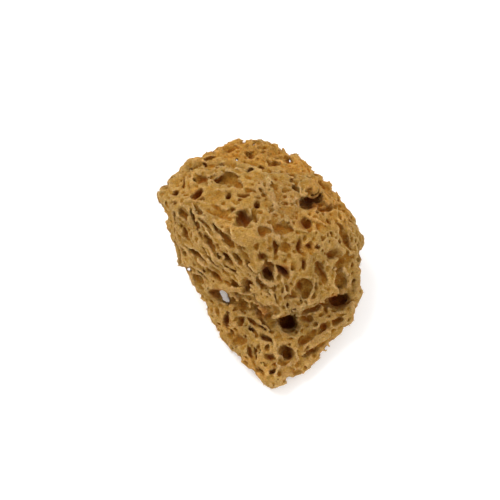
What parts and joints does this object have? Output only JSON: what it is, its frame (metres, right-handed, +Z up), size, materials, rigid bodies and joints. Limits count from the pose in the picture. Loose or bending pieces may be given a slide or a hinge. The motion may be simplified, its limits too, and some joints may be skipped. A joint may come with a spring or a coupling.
{
  "type": "natural sea sponge",
  "caption": "Natural sea sponge: a rough, golden-brown lump with pits and grooves all over, a ledge over a lower lobe, and a flat cut underneath.",
  "frame": {"origin": "middle of the lump's outer box, on the plane of the flat cut that it rests on", "axes": "+Z up from the flat cut; -Y is the front, where the lower lobe and its chin stick out; +X is the right as seen from the front"},
  "size_m": [0.1174, 0.1394, 0.0762],
  "materials": {
    "sponge": "matt, fibrous"
  },
  "bodies": {
    "root": {"sea_sponge": "sponge"}
  },
  "joints": []
}
